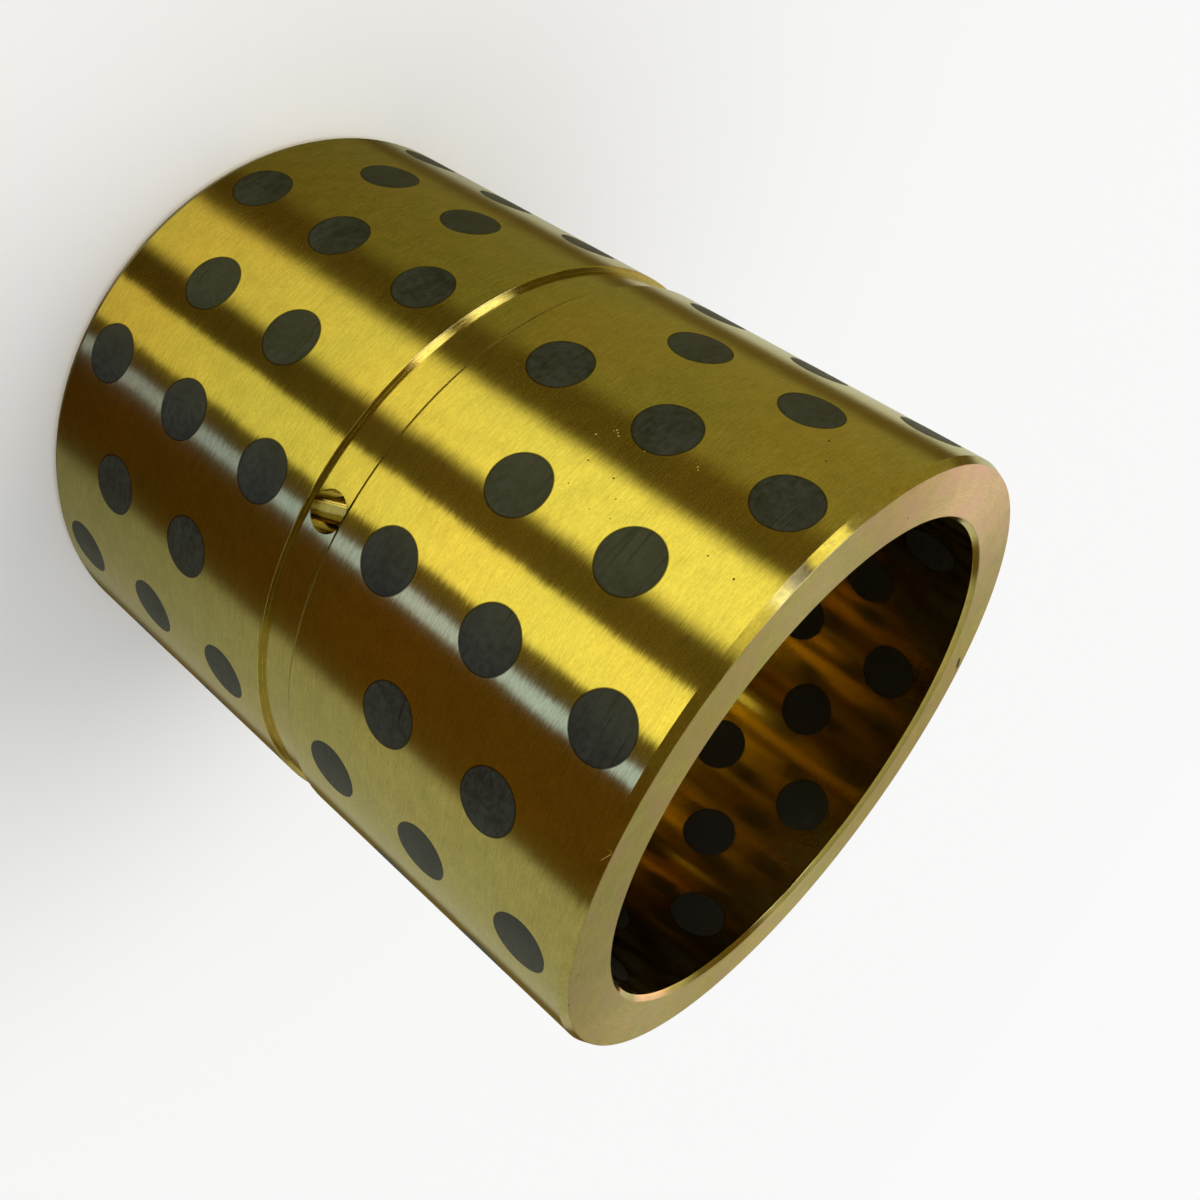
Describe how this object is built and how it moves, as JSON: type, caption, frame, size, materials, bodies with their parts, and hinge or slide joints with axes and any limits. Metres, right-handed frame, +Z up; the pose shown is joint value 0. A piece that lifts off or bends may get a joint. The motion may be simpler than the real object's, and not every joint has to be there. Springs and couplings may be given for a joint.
{
  "type": "graphite plugged bushing",
  "caption": "Turned bronze bushing for a pin or shaft, self lubricated by graphite plugs through its wall, with an outer oil groove and an oil hole.",
  "frame": {"origin": "centre of the lower end face, on the bushing's axis", "axes": "+Z up along the bushing's axis, +X through the oil hole"},
  "size_m": [0.11, 0.11, 0.13],
  "materials": {
    "bronze": "fine turned, bright",
    "graphite": "matte, turned flush"
  },
  "bodies": {
    "root": {"sleeve": "bronze", "plugs_lower_row_01": "graphite", "plugs_lower_row_02": "graphite", "plugs_lower_row_03": "graphite", "plugs_lower_row_04": "graphite", "plugs_lower_row_05": "graphite", "plugs_lower_row_06": "graphite", "plugs_lower_row_07": "graphite", "plugs_lower_row_08": "graphite", "plugs_lower_row_09": "graphite", "plugs_lower_row_10": "graphite", "plugs_lower_row_11": "graphite", "plugs_lower_row_12": "graphite", "plugs_lower_row_13": "graphite", "plugs_lower_row_14": "graphite", "plugs_lower_row_15": "graphite", "plugs_lower_row_16": "graphite", "plugs_lower_row_17": "graphite", "plugs_lower_row_18": "graphite", "plugs_upper_row_01": "graphite", "plugs_upper_row_02": "graphite", "plugs_upper_row_03": "graphite", "plugs_upper_row_04": "graphite", "plugs_upper_row_05": "graphite", "plugs_upper_row_06": "graphite", "plugs_upper_row_07": "graphite", "plugs_upper_row_08": "graphite", "plugs_upper_row_09": "graphite", "plugs_upper_row_10": "graphite", "plugs_upper_row_11": "graphite", "plugs_upper_row_12": "graphite", "plugs_upper_row_13": "graphite", "plugs_upper_row_14": "graphite", "plugs_upper_row_15": "graphite", "plugs_upper_row_16": "graphite", "plugs_upper_row_17": "graphite", "plugs_upper_row_18": "graphite"}
  },
  "joints": []
}
